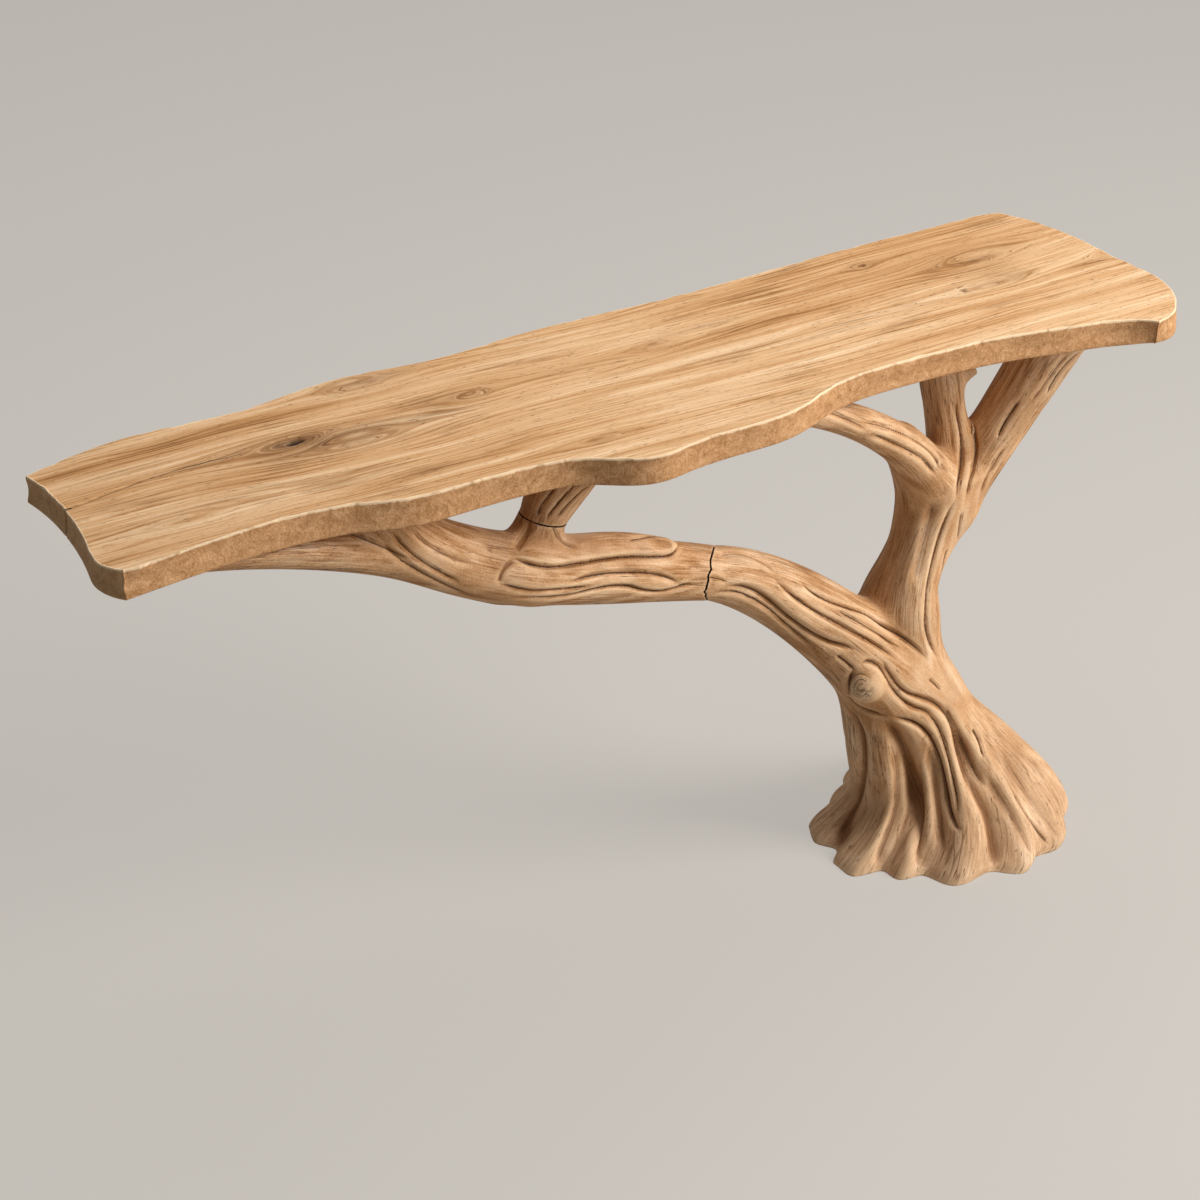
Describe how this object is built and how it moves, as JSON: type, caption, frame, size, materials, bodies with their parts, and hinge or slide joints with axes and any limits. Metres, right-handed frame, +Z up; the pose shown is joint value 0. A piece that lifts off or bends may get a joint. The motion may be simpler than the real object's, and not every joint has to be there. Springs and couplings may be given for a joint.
{
  "type": "tree trunk console table",
  "caption": "Narrow console table: a long live-edge wooden top carried by a natural tree trunk with a flared root foot, forked branches and a long side limb under the overhanging end.",
  "frame": {"origin": "on the floor, under the middle of the table's overall box", "axes": "+X along the top towards the end that stands over the root, +Y towards the wall side, +Z up"},
  "size_m": [1.474, 0.3784, 0.8],
  "materials": {
    "slab_wood": "oiled honey-tan plank, satin",
    "trunk_wood": "peeled and sanded trunk, matte",
    "limb_wood": "peeled and sanded limb, matte",
    "dowel_wood": "turned beech, raw",
    "stud_steel": "bright zinc plated",
    "ballast_steel": "flame-cut plate, dark mill scale"
  },
  "bodies": {
    "root": {"slab_top": "slab_wood", "trunk": "trunk_wood", "left_limb": "limb_wood", "riser_branch": "limb_wood", "limb_stud": "stud_steel", "limb_dowels": "dowel_wood", "riser_dowel": "dowel_wood", "seat_studs": "stud_steel", "ballast_disc_1": "ballast_steel", "ballast_disc_2": "ballast_steel", "ballast_disc_3": "ballast_steel", "ballast_rod": "stud_steel", "ballast_washer": "stud_steel", "ballast_nut": "stud_steel"}
  },
  "joints": []
}
